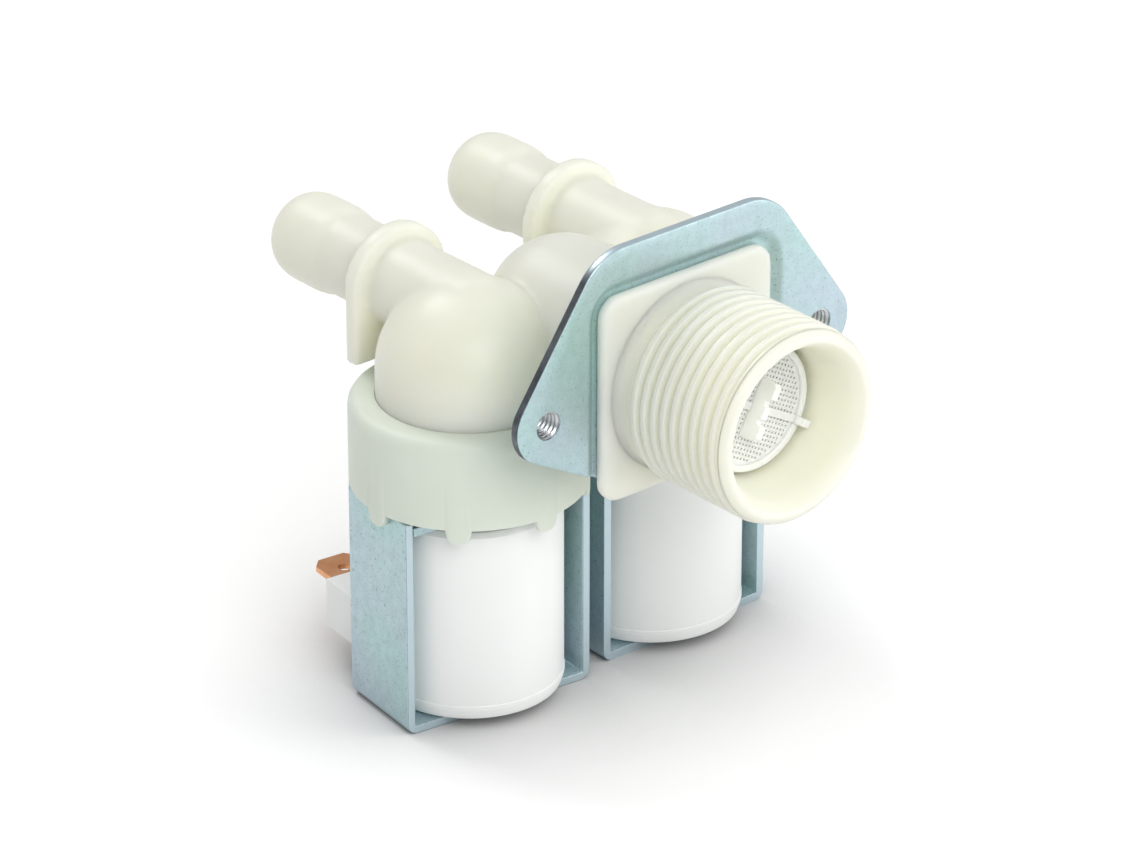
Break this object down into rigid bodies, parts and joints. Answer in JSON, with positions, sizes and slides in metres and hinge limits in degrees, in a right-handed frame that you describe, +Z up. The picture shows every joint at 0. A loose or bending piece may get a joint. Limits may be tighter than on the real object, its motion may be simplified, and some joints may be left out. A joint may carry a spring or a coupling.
{
  "type": "twin solenoid water inlet valve",
  "caption": "Water inlet valve with a threaded hose inlet, steel mounting plate, moulded body, hose tails and solenoid coils in steel yokes.",
  "frame": {"origin": "middle of the two screw holes on the front face of the mounting plate, on the inlet axis", "axes": "-Y out of the hose inlet, +Y out of the outlet tails, +Z up, the coils hang down"},
  "size_m": [0.063, 0.082, 0.0707],
  "materials": {
    "moulding": "ivory, slightly translucent",
    "ring": "pale greenish cream",
    "filter": "white",
    "coil": "white, glossy",
    "zinc_plate": "zinc plated, blue passivated",
    "steel": "bright",
    "copper": "enamelled copper wire",
    "terminal": "copper coloured",
    "rubber": "black"
  },
  "bodies": {
    "housing": {"valve_body": "moulding", "mounting_plate": "zinc_plate", "inlet_filter": "filter", "flow_washer": "rubber", "washer_cage": "filter", "retaining_ring_left": "ring", "retaining_ring_right": "ring", "guide_tube_left": "ring", "guide_tube_right": "ring", "yoke_left": "zinc_plate", "yoke_right": "zinc_plate", "yoke_top_left": "zinc_plate", "yoke_top_right": "zinc_plate", "upper_bush_left": "steel", "upper_bush_right": "steel", "lower_bush_left": "steel", "lower_bush_right": "steel", "coil_left": "coil", "coil_right": "coil", "winding_left": "copper", "winding_right": "copper", "spade_a_left": "terminal", "spade_a_right": "terminal", "spade_b_left": "terminal", "spade_b_right": "terminal"},
    "plunger_left": {"plunger_left": "steel", "plunger_seal_left": "rubber", "plunger_spring_left": "steel"},
    "diaphragm_centre_left": {"diaphragm_insert_left": "filter", "diaphragm_left": "rubber"},
    "plunger_right": {"plunger_right": "steel", "plunger_seal_right": "rubber", "plunger_spring_right": "steel"},
    "diaphragm_centre_right": {"diaphragm_insert_right": "filter", "diaphragm_right": "rubber"}
  },
  "joints": [
    {"name": "plunger_slide_left", "type": "slide", "parent": "housing", "child": "plunger_left", "axis": [0, 0, -1], "range_m": [0, 0.0024], "stiffness_N_per_m": 400, "springref_m": -0.003, "deforming": ["plunger_spring_left"]},
    {"name": "diaphragm_slide_left", "type": "slide", "parent": "housing", "child": "diaphragm_centre_left", "axis": [0, 0, -1], "range_m": [0, 0.0015], "deforming": ["diaphragm_left"]},
    {"name": "plunger_slide_right", "type": "slide", "parent": "housing", "child": "plunger_right", "axis": [0, 0, -1], "range_m": [0, 0.0024], "stiffness_N_per_m": 400, "springref_m": -0.003, "deforming": ["plunger_spring_right"]},
    {"name": "diaphragm_slide_right", "type": "slide", "parent": "housing", "child": "diaphragm_centre_right", "axis": [0, 0, -1], "range_m": [0, 0.0015], "deforming": ["diaphragm_right"]}
  ],
  "couplings": [
    {"joint": "diaphragm_slide_left", "follows": "plunger_slide_left", "ratio": 0.625},
    {"joint": "diaphragm_slide_right", "follows": "plunger_slide_right", "ratio": 0.625}
  ]
}
